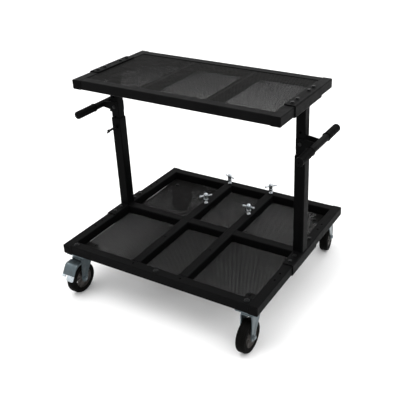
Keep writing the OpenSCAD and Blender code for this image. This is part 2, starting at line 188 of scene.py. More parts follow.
def bent_path(corners, bend, step=1.5):
    """Points along the lines through corners, with each inner corner rounded to the radius bend."""
    corners = [Vector(c) for c in corners]
    path = [corners[0]]
    for before, here, after in zip(corners, corners[1:], corners[2:]):
        into, out = (here - before).normalized(), (after - here).normalized()
        cut = bend * math.tan(into.angle(out) / 2)
        start, end = here - into * cut, here + out * cut
        count = max(3, int(bend * into.angle(out) / step))
        for i in range(count + 1):
            t = i / count
            path.append(start.lerp(here, t).lerp(here.lerp(end, t), t))
    path.append(corners[-1])
    return path


def dome(share, length, radius, tip):
    """The radius of a bar with a domed end at its far end."""
    left = (1 - share) * length
    if left >= tip:
        return radius
    return radius * math.sqrt(max(0.0, 1 - (1 - left / tip) ** 2)) + 0.05


def hex_head(across, low, high, chamfer_low=False, per_side=6):
    """A hexagon head or nut about Z, with its corners turned down as a real one's are."""
    inner = across / 2
    rows = []
    steps = [2 * math.pi * i / (6 * per_side) for i in range(6 * per_side)]
    outer = [inner / math.cos((a % (math.pi / 3)) - math.pi / 6) for a in steps]
    fall = [(r - inner) * 0.55 for r in outer]

    def ring(radii, heights):
        rows.append([(r * math.cos(a), r * math.sin(a), z) for r, a, z in zip(radii, steps, heights)])

    flat = [inner * 0.94] * len(steps)
    if chamfer_low:
        ring(flat, [low] * len(steps))
    ring(outer, [low + (f + 0.2 if chamfer_low else 0) for f in fall])
    ring(outer, [high - f - 0.3 for f in fall])
    ring(flat, [high] * len(steps))
    return lattice(rows, wrap=True, caps=True)


def thread(radius, low, high, pitch=1.25, depth=0.65, count=24, per_turn=8):
    """A screw thread about Z, as one wound surface with flat ends."""
    rows = []
    height = high - low
    total = int(height / pitch * per_turn)
    for k in range(total + 1):
        z = low + height * k / total
        row = []
        for i, (x, y) in enumerate(circle(1, count)):
            wave = abs(2 * ((z / pitch - i / count) % 1) - 1)
            r = radius - depth * wave
            row.append((r * x, r * y, z))
        rows.append(row)
    return lattice(rows, wrap=True, caps=True)


# ---- pieces ----


def make(name, shape, body, slot, replaces=(), bevel=0.0, solid=0.0, sharp=32):
    """Makes a piece in its slot's finish, with rounded edges (bevel) or as a thickened skin (solid)."""
    mesh = bpy.data.meshes.new(name)
    mesh.from_pydata([p * MM for p in shape.points], [], shape.faces)
    work = bmesh.new()
    work.from_mesh(mesh)
    bmesh.ops.recalc_face_normals(work, faces=work.faces)
    work.to_mesh(mesh)
    work.free()
    mesh.materials.append(PAINT[slot])
    piece = bpy.data.objects.new(name, mesh)
    bpy.context.scene.collection.objects.link(piece)
    mesh.shade_smooth()
    if solid:
        shell = piece.modifiers.new("thickness", "SOLIDIFY")
        shell.thickness = solid * MM
        shell.offset = -1
        shell.use_even_offset = True
    if bevel:
        round_edges(piece, bevel, sharp)
    else:
        mesh.set_sharp_from_angle(angle=math.radians(sharp))
    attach(piece, body)
    if replaces:
        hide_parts(*replaces)
    return piece


def round_edges(piece, width, sharp=32):
    rounding = piece.modifiers.new("round_edges", "BEVEL")
    rounding.width = width * MM
    rounding.segments = 2
    rounding.limit_method = "ANGLE"
    rounding.angle_limit = math.radians(sharp)
    rounding.harden_normals = True
    rounding.use_clamp_overlap = True


# ---- materials ----


class Nodes:
    """A new node material, with short calls for the nodes that the finishes share."""

    def __init__(self, name):
        self.material = bpy.data.materials.new(name)
        self.material.use_nodes = True
        self.tree = self.material.node_tree
        self.shader = self.tree.nodes["Principled BSDF"]
        self.place = self.tree.nodes.new("ShaderNodeTexCoord")

    def put(self, kind, inputs, **settings):
        node = self.tree.nodes.new(kind)
        for key, value in settings.items():
            setattr(node, key, value)
        for key, value in inputs.items():
            if isinstance(value, bpy.types.NodeSocket):
                self.tree.links.new(value, node.inputs[key])
            else:
                node.inputs[key].default_value = value
        return node

    def noise(self, scale, detail=3.0, rough=0.55, stretch=None):
        where = self.place.outputs["Object"]
        if stretch:
            where = self.put("ShaderNodeMapping", {"Vector": where, "Scale": stretch}).outputs[0]
        inputs = {"Vector": where, "Scale": scale, "Detail": detail, "Roughness": rough}
        return self.put("ShaderNodeTexNoise", inputs).outputs["Fac"]

    def span(self, value, low, high, from_low=0.3, from_high=0.7):
        """Maps a noise value to a range."""
        inputs = {"Value": value, "To Min": low, "To Max": high}
        inputs |= {"From Min": from_low, "From Max": from_high}
        return self.put("ShaderNodeMapRange", inputs).outputs[0]

    def blend(self, share, dark, light):
        """A colour between two, each an RGB triple or a socket."""
        node = self.put("ShaderNodeMix", {0: share}, data_type="RGBA")
        for socket, value in ((node.inputs[6], dark), (node.inputs[7], light)):
            if isinstance(value, bpy.types.NodeSocket):
                self.tree.links.new(value, socket)
            else:
                socket.default_value = (*value, 1)
        return node.outputs[2]

    def calc(self, operation, a, b=0.0):
        return self.put("ShaderNodeMath", {0: a, 1: b}, operation=operation).outputs[0]

    def corners(self):
        """1 on the rounded corners of parts that lie along the axes, and 0 on their flats."""
        normal = self.put("ShaderNodeSeparateXYZ", {0: self.place.outputs["Normal"]})
        largest = self.calc("ABSOLUTE", normal.outputs[0])
        for k in (1, 2):
            largest = self.calc("MAXIMUM", largest, self.calc("ABSOLUTE", normal.outputs[k]))
        return self.span(largest, 1.0, 0.0, 0.72, 0.97)

    def upward(self):
        """1 where the surface faces up, and 0 where it is upright or faces down."""
        normal = self.put("ShaderNodeSeparateXYZ", {0: self.place.outputs["Normal"]})
        return self.span(normal.outputs[2], 0.0, 1.0, 0.5, 0.95)

    def bump(self, height, distance, strength=1.0):
        inputs = {"Height": height, "Distance": distance * MM, "Strength": strength}
        return self.put("ShaderNodeBump", inputs).outputs[0]

    def link(self, **sockets):
        for key, value in sockets.items():
            socket = self.shader.inputs[key.replace("_", " ")]
            if isinstance(value, bpy.types.NodeSocket):
                self.tree.links.new(value, socket)
            else:
                socket.default_value = (*value, 1) if isinstance(value, tuple) else value


def powder_coat(name, tone, roughness=0.42, wear=0.3, peel=0.05, dust=0.003):
    """Satin powder coat: orange peel, faint clouding, rubbed corners, and what faces up made lighter, partly by
    dust and partly by painted top light.
    """
    n = Nodes(name)
    dark = tuple(c * 0.8 for c in tone)
    light = tuple(c * 1.25 for c in tone)
    rubbed = tuple(c * 3 + 0.010 for c in tone)
    # dust lifts the tone of upward faces: partly real dust, partly painted top light that makes tops lighter than
    # sides
    top_light_and_dust_tone = tuple(c + dust for c in tone)
    cloud = n.span(n.noise(9, 4), 0, 1)
    patch = n.span(n.noise(60, 5, 0.65), 0, 1, 0.42, 0.66)
    worn = n.calc("MULTIPLY", n.calc("MULTIPLY", n.corners(), patch), wear)
    # mask of upward faces, broken by noise, for the dust and the painted top light
    top_light_and_dust_mask = n.calc("MULTIPLY", n.upward(), n.span(n.noise(22, 5, 0.6), 0.6, 1.0))
    coat = n.blend(top_light_and_dust_mask, n.blend(cloud, dark, light), top_light_and_dust_tone)
    n.link(
        Base_Color=n.blend(worn, coat, rubbed),
        Roughness=n.span(n.noise(40, 4), roughness - 0.05, roughness + 0.07),
        Normal=n.bump(n.noise(750, 2), peel),
        Specular_IOR_Level=0.25,
        IOR=1.11,
    )
    return n.material


def plated(name, tone, roughness=0.3, tint=(0.9, 0.96, 1.0), streaks=0.06, metal=0.9):
    """Zinc plate: a metal with a mottled, faintly tinted passivation film and fine drawing lines."""
    n = Nodes(name)
    light = tuple(min(1.0, c * t * 1.06) for c, t in zip(tone, tint))
    dark = tuple(c * 0.8 for c in tone)
    film = n.span(n.noise(55, 5, 0.6), 0, 1, 0.35, 0.65)
    lines = n.noise(420, 2, 0.5, stretch=(1, 1, 0.12))
    n.link(
        Base_Color=n.blend(film, dark, light),
        Metallic=metal,
        Roughness=n.span(n.noise(130, 4), roughness - 0.07, roughness + 0.1),
        Normal=n.bump(lines, streaks),
    )
    return n.material


def black_oxide(name, tone):
    """Blackened steel: dull metal with paler oily patches."""
    n = Nodes(name)
    patch = n.span(n.noise(160, 4, 0.6), 0, 1, 0.4, 0.65)
    n.link(
        Base_Color=n.blend(patch, tone, tuple(c * 1.7 for c in tone)),
        Metallic=0.3,
        Roughness=n.span(n.noise(240, 3), 0.3, 0.5),
        IOR=1.25,
        Normal=n.bump(n.noise(900, 2), 0.02),
    )
    return n.material


def moulded(name, tone, roughness, grain=900, depth=0.06, dust=0.3):
    """Rubber or moulded plastic: fine grain, with dust lying in clouds."""
    n = Nodes(name)
    cloud = n.span(n.noise(35, 5, 0.65), 0, dust, 0.4, 0.75)
    n.link(
        Base_Color=n.blend(cloud, tone, tuple(c * 2 + 0.006 for c in tone)),
        Roughness=n.span(n.noise(90, 4), roughness - 0.06, roughness + 0.08),
        Normal=n.bump(n.noise(grain, 3), depth),
        Specular_IOR_Level=0.25,
        IOR=1.12,
    )
    return n.material


def cast_metal(name, tone):
    """Satin casting: coarse skin, with darker patches at random."""
    n = Nodes(name)
    skin = n.noise(500, 4, 0.6)
    patch = n.span(n.noise(45, 5), 0, 1, 0.35, 0.65)
    n.link(
        Base_Color=n.blend(patch, tuple(c * 0.72 for c in tone), tone),
        Metallic=0.55,
        Roughness=n.span(skin, 0.42, 0.6),
        Normal=n.bump(skin, 0.12),
    )
    return n.material


def studio_floor(name, tone):
    """Pale matt floor with very faint clouding."""
    n = Nodes(name)
    cloud = n.span(n.noise(2.5, 3), 0, 1)
    n.link(Base_Color=n.blend(cloud, tuple(c * 0.985 for c in tone), tone), Roughness=0.8)
    return n.material


# Each powder coat's dust value lightens its upward faces: real dust and painted top light together.
PAINT = {
    "deck_paint": powder_coat("deck_paint", (0.0026, 0.0027, 0.0028), 0.44, dust=0.0015),
    "shelf_paint": powder_coat("shelf_paint", (0.0034, 0.0035, 0.0036), 0.40, dust=0.003),
    "post_paint": powder_coat("post_paint", (0.0020, 0.0021, 0.0022), 0.42),
    "bracket_paint": powder_coat("bracket_paint", (0.0024, 0.0025, 0.0026), 0.40, wear=0.5, dust=0.002),
    "mesh_paint": powder_coat("mesh_paint", (0.0058, 0.0058, 0.0056), 0.50, wear=0.0, dust=0.005),
    "black_fastener": black_oxide("black_fastener", (0.006, 0.0063, 0.0066)),
    "plug_plastic": moulded("plug_plastic", (0.0022, 0.0022, 0.0023), 0.5, dust=0.1),
    "caster_zinc": plated("caster_zinc", (0.115, 0.138, 0.147), 0.34),
    # brake_zinc, far lighter than caster_zinc on the same pedal: partly bright plating, partly painted highlight
    "brake_zinc": plated("brake_zinc", (0.62, 0.66, 0.68), 0.28),
    "zinc_fastener": plated("zinc_fastener", (0.24, 0.27, 0.285), 0.36),
    "bright_zinc": plated("bright_zinc", (0.50, 0.51, 0.52), 0.26, streaks=0.03),
    "wheel_core": cast_metal("wheel_core", (0.105, 0.098, 0.093)),
    "tyre_rubber": moulded("tyre_rubber", (0.0024, 0.0023, 0.0021), 0.62, 700, 0.1, dust=0.2),
    "grip_rubber": moulded("grip_rubber", (0.0022, 0.0022, 0.0023), 0.55, 1100, 0.12, dust=0.15),
}
FLOOR_TONE = (0.95, 0.95, 0.95)


# ---- perforated sheets ----

HOLE_PITCH = 6.0
HOLE_RADIUS = 1.9
HOLE_SIDES = 6
SHEET_MARGIN = 1.5  # least plain edge round the holes
BOLT_PATCH = 14.0  # radius that stays solid round a bolt
DECK_SHEET = 1.7  # thickness of each sheet
SHELF_SHEET = 1.0
SEAM = 0.3


def zipper(outer, inner):
    """Triangles between two rings of points round the same middle, as ('o' or 'i', index) triples."""
    def angle(p):
        return math.atan2(p[1], p[0]) % (2 * math.pi)

    outs = sorted(range(len(outer)), key=lambda k: angle(outer[k]))
    ins = sorted(range(len(inner)), key=lambda k: angle(inner[k]))
    faces = []
    a = b = 0
    while a < len(outs) or b < len(ins):
        next_out = angle(outer[outs[(a + 1) % len(outs)]]) + 2 * math.pi * ((a + 1) // len(outs))
        next_in = angle(inner[ins[(b + 1) % len(ins)]]) + 2 * math.pi * ((b + 1) // len(ins))
        here_out, here_in = ("o", outs[a % len(outs)]), ("i", ins[b % len(ins)])
        if b >= len(ins) or (a < len(outs) and next_out <= next_in):
            faces.append((here_out, ("o", outs[(a + 1) % len(outs)]), here_in))
            a += 1
        else:
            faces.append((here_out, ("i", ins[(b + 1) % len(ins)]), here_in))
            b += 1
    return faces


def perforated(low, high, solid_at=()):
    """A sheet between two corners, with staggered holes except in a patch round each of solid_at."""
    step_y = HOLE_PITCH * math.sqrt(3) / 2
    across = int((high.x - low.x - 2 * SHEET_MARGIN) / HOLE_PITCH)
    rows = int((high.y - low.y - 2 * SHEET_MARGIN) / step_y)
    x0 = (low.x + high.x - across * HOLE_PITCH) / 2
    y0 = (low.y + high.y - rows * step_y) / 2
    half, mid = HOLE_PITCH / 2, step_y / 2
    cell = [(-half, -mid), (0, -mid), (half, -mid), (half, mid), (0, mid), (-half, mid)]
    hole = circle(HOLE_RADIUS, HOLE_SIDES, math.pi / HOLE_SIDES)
    pattern = zipper(cell, hole)
    points, faces, known = [], [], {}

    def point(x, y, z):
        key = (round(x, 3), round(y, 3), z)
        if key not in known:
            known[key] = len(points)
            points.append((x, y, z))
        return known[key]

    def plate(outline):
        """One plain polygon on the top and on the underside."""
        faces.append([point(x, y, high.z) for x, y in outline])
        faces.append([point(x, y, low.z) for x, y in reversed(outline)])

    def wall(a, b, first, second):
        """One upright face along the line from a to b, drawn at two heights in turn."""
        faces.append([point(*a, first), point(*b, first), point(*b, second), point(*a, second)])

    for j in range(rows):
        shift = half * (j % 2)
        y = y0 + j * step_y
        count = across - j % 2
        for i in range(count):
            cx, cy = x0 + shift + (i + 0.5) * HOLE_PITCH, y + mid
            outline = [(cx + u, cy + v) for u, v in cell]
            if any((Vector((cx, cy)) - Vector(s)).length < BOLT_PATCH for s in solid_at):
                plate(outline)
                continue
            ring = [(cx + u, cy + v) for u, v in hole]
            places = {"o": outline, "i": ring}
            for z in (high.z, low.z):
                for face in pattern:
                    faces.append([point(*places[kind][k], z) for kind, k in face])
            for a, b in zip(ring, ring[1:] + ring[:1]):
                wall(a, b, high.z, low.z)
        ends = [(low.x, x0 + shift), (high.x, x0 + shift + count * HOLE_PITCH)]
        for edge, inner in ends:
            nearest, farthest = sorted((edge, inner))
            between = [x for x in (x0, x0 + across * HOLE_PITCH) if nearest < x < farthest]
            line = [edge, *between, inner]
            plate([(x, y) for x in line] + [(x, y + step_y) for x in reversed(line)])
    stops = [low.x, *[x0 + k * half for k in range(2 * across + 1)], high.x]
    for edge, inner in ((low.y, y0), (high.y, y0 + rows * step_y)):
        for a, b in zip(stops, stops[1:]):
            plate([(a, edge), (b, edge), (b, inner), (a, inner)])
        for a, b in zip(stops, stops[1:]):
            wall((a, edge), (b, edge), low.z, high.z)
    levels = [low.y, *[y0 + j * step_y for j in range(rows + 1)], high.y]
    for edge in (low.x, high.x):
        for a, b in zip(levels, levels[1:]):
            wall((edge, a), (edge, b), low.z, high.z)
    return points, faces


def sheets():
    """The two sheets, cut into panels whose seams lie against the bars and the cross members."""
    low, high = box_of("deck_mesh")
    bolts = []
    for corner in CORNERS:
        swivel = joint_at(corner + "_swivel")
        bolts.append([c - math.copysign(d, c) for c, d in zip(swivel.xy, PLATE_HOLES)])
    low.z = high.z - DECK_SHEET
    bar_x = box_of("deck_bars")[1].x - TUBE_HALF
    panels("deck", low, high, (low.x, -bar_x, bar_x, high.x), (low.y, 0, high.y), bolts)
    low, high = box_of("shelf_mesh")
    high.z = low.z + SHELF_SHEET
    member_x = box_of("shelf_cross_members")[1].x - TUBE_HALF
    panels("shelf", low, high, (low.x, -member_x, member_x, high.x), (low.y, high.y), ())


def panels(tier, low, high, cuts_x, cuts_y, solid_at):
    node = tier + "_mesh"
    for i, (left, right) in enumerate(zip(cuts_x, cuts_x[1:])):
        for k, (front, back) in enumerate(zip(cuts_y, cuts_y[1:])):
            a = Vector((left + SEAM, front + SEAM, low.z))
            b = Vector((right - SEAM, back - SEAM, high.z))
            near = [s for s in solid_at if a.x < s[0] < b.x and a.y < s[1] < b.y]
            name = f"{tier}_sheet_{i + 1}_{k + 1}"
            make(name, Shape().add(perforated(a, b, near)), tier, "mesh_paint", [node])


# ---- casters ----

# A caster is drawn in its own frame, with its swivel axis at the origin and its wheel towards -Y.
PLATE_HOLES = (34, 43)
LEG_OUT = 25.0  # half the width over the fork's legs
LEG_THICK = 4.0
LEG_FOOT = 16.0  # radius of a leg's round foot
TAPER_TOP = 145.0  # height where a leg reaches its full width
CROWN_TOP = 164.0
CROWN_BEND = 7.0
AXLE_RADIUS = 5.0
AXLE_HEX = 14.7
AXLE_NUT_FACE = 26.4
WHEEL_RADIUS = 65.0
TYRE_HALF = 19.0
HUB_RADIUS = 48.0
WEB_HALF = 4.8
WINDOWS = 6
WINDOW_RING = 28.0
WINDOW_RADIUS = 8.0
TRAIL = 38.0
PEDAL_PIVOT = (-34.0, 148.0)
HOOD_HALF = 30.0
HOOD_BEND = 2.6


def corner_place(corner):
    """The matrix from a caster's own frame to the whole part's."""
    swivel = joint_at(corner + "_swivel")
    trail = joint_at(corner + "_roll") - swivel
    swing = math.degrees(math.atan2(trail.x, -trail.y))
    return at(swivel.x, swivel.y, 0) @ turned("Z", swing)


def leg_edges(z):
    """Front and back edge of a fork leg at height z: a round foot that widens towards the crown."""
    if z < WHEEL_RADIUS:
        half = math.sqrt(max(0.0, LEG_FOOT**2 - (WHEEL_RADIUS - z) ** 2))
        return -TRAIL - half, -TRAIL + half
    rise = min(1.0, (z - WHEEL_RADIUS) / (TAPER_TOP - WHEEL_RADIUS))
    rise = rise * rise * (3 - 2 * rise)
    return -TRAIL - LEG_FOOT + rise * 8, -TRAIL + LEG_FOOT + rise * TRAIL


def fork_rows():
    """The outside of the pressed fork, as rows from one leg's foot over the crown to the other's."""
    foot, step, groove_low, groove_high, groove_depth = WHEEL_RADIUS - LEG_FOOT, 6, 80, 150, 1.1
    shoulder = CROWN_TOP - CROWN_BEND
    ends = [foot + 0.3 + LEG_FOOT * (1 - math.cos(math.pi / 2 * i / 10)) for i in range(10)]
    rise = [WHEEL_RADIUS + step * i for i in range(int((shoulder - WHEEL_RADIUS) / step) + 1)]
    path = [(LEG_OUT, z) for z in ends + rise]
    for c, s in quarter(6):
        path.append((LEG_OUT - CROWN_BEND + CROWN_BEND * c, shoulder + CROWN_BEND * s))
    path = [(-x, z) for x, z in path] + [(x, z) for x, z in reversed(path)]
    across = 14
    rows = []
    for x, z in path:
        front, back = leg_edges(z)
        grooved = groove_low < z < groove_high
        row = []
        for k in range(across + 1):
            share = k / across
            y = front + (back - front) * share
            groove = math.sin(math.pi * share) ** 4 * groove_depth if grooved else 0.0
            row.append((x - math.copysign(groove, x), y, z))
        rows.append(row)
    return rows


def forks(corner, place):
    body = corner + "_caster"
    fork = Shape().add(lattice(fork_rows()), place)
    name = corner + "_fork"
    make(name + "_yoke", fork, body, "caster_zinc", [name], bevel=0.7, solid=LEG_THICK)
    race = [(6.3, 163.6), (26, 163.6), (29.4, 165), (30, 167)]
    race += [(30, 171), (28.6, 173.6), (26, 174.6), (6.3, 174.6)]
    shape = Shape().add(lathe(race, 64, closed=True), place)
    make(corner + "_swivel_race", shape, body, "caster_zinc", bevel=0.4)
    axle(corner, place, body)


def axle(corner, place, body):
    """The axle bolt with its lock nut on +X, its head on -X, and a washer under each."""
    along = place @ at(0, -TRAIL, WHEEL_RADIUS) @ turned("Y", 90)
    back = along @ turned("Y", 180)
    nut_top, radius = AXLE_NUT_FACE + 6.2, AXLE_RADIUS
    shape = Shape()
    shape.add(lathe([(radius, -27), (radius, 33.5), (4.3, 34.4)], 32), along)
    shape.add(hex_head(AXLE_HEX, AXLE_NUT_FACE, nut_top, chamfer_low=True), along)
    collar = [(radius, nut_top), (6.0, nut_top + 0.2), (6.0, nut_top + 0.8), (radius, nut_top + 1)]
    shape.add(lathe(collar, 32, closed=True), along)
    shape.add(hex_head(AXLE_HEX, AXLE_NUT_FACE, AXLE_NUT_FACE + 5), back)
    inner, outer = LEG_OUT + 0.05, AXLE_NUT_FACE - 0.1
    washer = [(radius, inner), (9.2, inner), (9.2, outer), (radius, outer)]
    for side in (back, along):
        shape.add(lathe(washer, 40, closed=True), side)
    name = corner + "_axle"
    make(name + "_bolt", shape, body, "zinc_fastener", [name])


def tyre_profile():
    """Section of the tyre: its seat, the lip over the rim's face, the side wall and the tread."""
    half, tread = TYRE_HALF, WHEEL_RADIUS
    profile = [(HUB_RADIUS, 17.1)]
    profile += [(42.6, 17.1), (42.2, 17.5), (42.8, 18.1), (45.0, 18.4)]
    profile += [(50.5, half - 0.1), (52.0, half - 0.6), (57.5, half - 0.6)]
    profile += [(59.0, half - 0.1), (61.0, half - 0.9), (63.0, half - 3.2), (64.4, half - 6.4)]
    profile += [(tread, 10.6), (tread - 0.1, 8.4), (tread - 1, 8.0), (tread - 1, 7.0)]
    profile += [(tread - 0.1, 6.6), (tread, 4.0), (tread - 0.2, 0.5)]
    return both_sides(profile)


def both_sides(profile):
    """A section of (radius, width) with its mirror image added."""
    return profile + [(r, -w) for r, w in reversed(profile)]


def wheels(corner, place):
    body = corner + "_wheel"
    along = place @ at(0, -TRAIL, WHEEL_RADIUS) @ turned("Y", 90)
    tyre = Shape().add(lathe(tyre_profile(), 96, closed=True), along)
    make(corner + "_tyre_ring", tyre, body, "tyre_rubber", [corner + "_tyre"], sharp=40)
    rim = [(HUB_RADIUS, 16.6), (47.2, 17.0), (44.2, 17.0), (43.0, 16.2), (41.6, 7.0), (40.4, 5.4)]
    rim += [(38.6, WEB_HALF)]
    boss = [(16.6, WEB_HALF), (15.0, 5.6), (13.4, 8.0), (12.8, 19.2), (12.0, 20.4)]
    boss += [(10.4, 20.7), (8.4, 20.7), (5.3, 20.7)]
    core = Shape()
    for profile in (rim, boss):
        core.add(lathe(both_sides(profile), 96, closed=True), along)
    for k in range(WINDOWS):
        turn = along @ turned("Z", 360 / WINDOWS * (k + 0.5))
        core.add(spoke(), turn)
        core.add(web(), turn)
    name = corner + "_wheel_core"
    make(name, core, body, "wheel_core", [corner + "_hub"], bevel=0.5)


def web():
    """The hub's web between two windows: a plate from the boss to the rim, cut back at both windows."""
    inner, outer, steps = 15.0, 40.5, 12
    side = []
    for i in range(steps + 1):
        r = inner + (outer - inner) * i / steps
        reach = WINDOW_RADIUS**2 - (r - WINDOW_RING) ** 2
        edge = math.radians(180 / WINDOWS) - (math.sqrt(reach) / r if reach > 0 else 0)
        side.append((r * math.cos(edge), r * math.sin(edge)))
    outline = side + [(x, -y) for x, y in reversed(side)]
    return prism(outline, -WEB_HALF, WEB_HALF)


def spoke():
    """A rib that stands on the web between two windows, on both sides."""
    rows = []
    for i in range(9):
        t = i / 8
        x = 13.5 + 28.5 * t
        height = 9.5 + 4.0 * (2 * t - 1) ** 2
        width = 1.7 + 0.9 * (2 * t - 1) ** 2
        section = [(-width, -height), (width, -height), (width, height), (-width, height)]
        rows.append([(x, y, z) for y, z in section])
    return lattice(rows, wrap=True, caps=True)


def hood_rows():
    """The outside of the brake lever's hood, as rows from the pivot down over the wheel.

    Its middle is a shallow sunk panel, and its sides hang by depth."""
    z = PEDAL_PIVOT[1]
    path = [(-50, z + 4), (-64, z + 3.4), (-74, z + 2.8), (-80, z + 0.8), (-84.5, z - 3.5)]
    path += [(-91, z - 13.5), (-98, z - 24.5), (-105, z - 35.5)]
    depth = [7, 8.5, 10, 13, 15, 13.5, 9.5, 3.4]
    rows = []
    for (y, top), fall in zip(path, depth):
        row = []
        panel = -0.5 if -103 < y < -52 else 0.0
        for s in (-1, 1):
            part = [(s * HOOD_HALF, -fall), (s * HOOD_HALF, -(fall + HOOD_BEND) / 2)]
            for u, v in quarter(4):
                x = HOOD_HALF - HOOD_BEND + HOOD_BEND * u
                part.append((s * x, -HOOD_BEND + HOOD_BEND * v))
            part += [(s * 17, 0), (s * 16, panel), (s * 8, panel)]
            row += part if s < 0 else part[::-1]
        lean = 0.0 if y > -78 else 0.35
        rows.append([(x, y + lean * d, top + d) for x, d in row])
    return rows


def tab(x_low, x_high, length):
    """A foot tab: a rounded tongue on from the hood's lower edge, which curls up at its end."""
    z = PEDAL_PIVOT[1]
    start, along = Vector((-104.2, z - 34.4)), Vector((-14.0, -20.5)).normalized()
    out = Vector((along.y, -along.x))
    middle, half = (x_low + x_high) / 2, (x_high - x_low) / 2
    steps, rounding, rounded_length, curl, curl_from = 10, 4.5, 5.0, 1.2, 0.7
    rows = []
    for i in range(steps + 1):
        t = i / steps
        rise = curl * max(0.0, t - curl_from) / (1 - curl_from)
        centre = start + along * (length * t) - out * rise
        left = min(1.0, (1 - t) * length / rounded_length)
        width = half - rounding * (1 - math.sqrt(max(0.0, 1 - (1 - left) ** 2)))
        rows.append([(middle + width * s / 4, centre.x, centre.y) for s in range(-4, 5)])
    return lattice(rows)


def pedals(corner, place):
    """The brake lever: hood, foot tabs, the arm on its trunnion, and the pad over the tread."""
    body = corner + "_brake"
    hood = Shape().add(lattice(hood_rows()), place)
    make(body + "_hood", hood, body, "caster_zinc", [corner + "_pedal"], bevel=0.5, solid=3.0)
    # The foot tabs take the bright brake_zinc and the hood of the same pressed pedal the dark caster_zinc: partly
    # real plating, partly a painted highlight on the tabs.
    tabs = Shape()
    tabs.add(tab(-4, HOOD_HALF, 24.6), place)
    tabs.add(tab(-HOOD_HALF, -12, 12.4), place)
    make(corner + "_foot_tabs", tabs, body, "brake_zinc", bevel=0.5, solid=3.6)
    z = PEDAL_PIVOT[1]
    arm = [(-36, z + 3.9), (-51, z + 3.9), (-51, z + 0.2), (-36, z + 0.2)]
    trunnion = [(8.5, 19), (8.3, 19.8), (4, 20.2), (4, 25.8), (3.2, 26.4)]
    trunnion = [(r, -w) for r, w in reversed(trunnion)] + trunnion
    lever = Shape().add(slab_yz(arm, 40), place)
    lever.add(lathe(trunnion, 40), place @ at(0, *PEDAL_PIVOT) @ turned("Y", 90))
    make(body + "_pivot", lever, body, "caster_zinc", bevel=0.3)
    outline = [(-83, z - 9), (-97, z - 30.5), (-93.6, z - 32.7), (-79.6, z - 11.2)]
    pad = Shape().add(slab_yz(outline, 30), place)
    make(body + "_pad", pad, body, "tyre_rubber", bevel=0.8)


def casters():
    for corner in CORNERS:
        place = corner_place(corner)
        forks(corner, place)
        wheels(corner, place)
        if corner + "_pedal" in frame["nodes"]:
            pedals(corner, place)


# ---- clamping screws, pins and grips ----

BOLT_SHANK = 3.9
BOLT_THREAD = 3.98
SCREW_TURNS = {"bar_screw_left": 45, "bar_screw_right": 0}
SCREW_TURNS |= {"rail_screw_left": -20, "rail_screw_right": 45}
HUB_WIDE = 10.3  # radius of a clamping screw's hub
TOMMY_HEIGHT = 36  # cross bar above the screw's foot
KNOB_RADIUS = 4.8
PIN_RADIUS = 4.95
PIN_COLLAR = 53  # from the pin's tip to its collar
GRIP_IN = 72.0
GRIP_BORE = 14.1
GRIP_RADIUS = 16.4
GRIP_FLANGE = 18  # radius of the flange in the CAD
GRIP_GROOVE = 0.6


def clamping_screws():
    for name, angle in SCREW_TURNS.items():
        foot = joint_at(name + "_turn")
        tip = box_of(name)[0].z - foot.z
        place = at(*foot) @ turned("Z", angle)
        shape = Shape()
        shape.add(thread(BOLT_THREAD, 0.2, 13.0), place)
        shape.add(lathe([(3.4, tip + 0.2), (3.7, tip + 1), (3.7, 0.5)], 24), place)
        washer = [(4.2, 0.4), (8.6, 0.4), (9.0, 0.8), (9.0, 1.8), (8.6, 2.2), (4.2, 2.2)]
        shape.add(lathe(washer, 40, closed=True), place)
        shape.add(lathe(screw_hub_profile(), 48), place)
        shape.add(tommy_bar(), place @ at(0, 0, TOMMY_HEIGHT) @ turned("Y", 90))
        make(name + "_tee", shape, name, "bright_zinc", [name], sharp=38)


def screw_hub_profile():
    """Turned hub: a chamfered foot, a waist, and a domed top."""
    profile = [(4.5, 12.1), (6.6, 12.1), (8.8, 13.6), (10.2, 15.4), (10.2, 21)]
    profile += [(8.8, 22.6), (8.6, 27), (8.9, 29), (HUB_WIDE, 31), (HUB_WIDE, 41.0)]
    profile += [(HUB_WIDE * c * 0.96 + 0.1, 42.0 + 7.8 * s) for c, s in quarter(6)[1:]]
    return profile


def tommy_bar():
    """The cross bar along Z, with a swelled round knob on each end."""
    half = [(3.5, 0.0), (3.5, 22.4), (4.1, 23.2)]
    half += [(KNOB_RADIUS * c + 0.02, 25.6 + 4.2 * s) for c, s in quarter(7)]
    return lathe([(r, -z) for r, z in reversed(half)] + half[1:], 28)


def lock_pins():
    """A straight pin through the boss with a collar, and a thinner end bent down and away."""
    bend, tail_reach, tail_drop, tip_round, thinner = 9, 11.0, 7.4, 3.4, 1.35
    for side, sign in SIDES.items():
        node = side + "_lock_pin"
        low, high = box_of(node)
        tip_y, far = (low.y, high.y) if sign > 0 else (high.y, low.y)
        end_y = far - sign * 2.6
        x, z = (low.x + high.x) / 2, high.z - PIN_RADIUS
        elbow = end_y - sign * tail_reach
        path = bent_path([(x, tip_y, z), (x, elbow, z), (x, end_y, z - tail_drop)], bend)
        dense = []
        for a, b in zip(path, path[1:]):
            count = max(1, int((b - a).length / 1.5))
            dense += [a.lerp(b, i / count) for i in range(count)]
        length = sum((b - a).length for a, b in zip(path, path[1:]))

        def radius(share):
            taper = min(1.0, max(0.0, (share - 0.78) / 0.08))
            point = min(1.0, 0.72 + share * 10)
            return dome(share, length, PIN_RADIUS - thinner * taper, tip_round) * point

        shape = Shape().add(sweep(dense + [path[-1]], radius, 24))
        collar = [(5.0, -1.6), (6.6, -1.6), (7.2, -0.9), (7.2, 0.9), (6.6, 1.6), (5.0, 1.6)]
        place = at(x, tip_y + sign * PIN_COLLAR, z) @ turned("X", 90)
        shape.add(lathe(collar, 32, closed=True), place)
        make(side + "_bent_pin", shape, node, "black_fastener", [node])


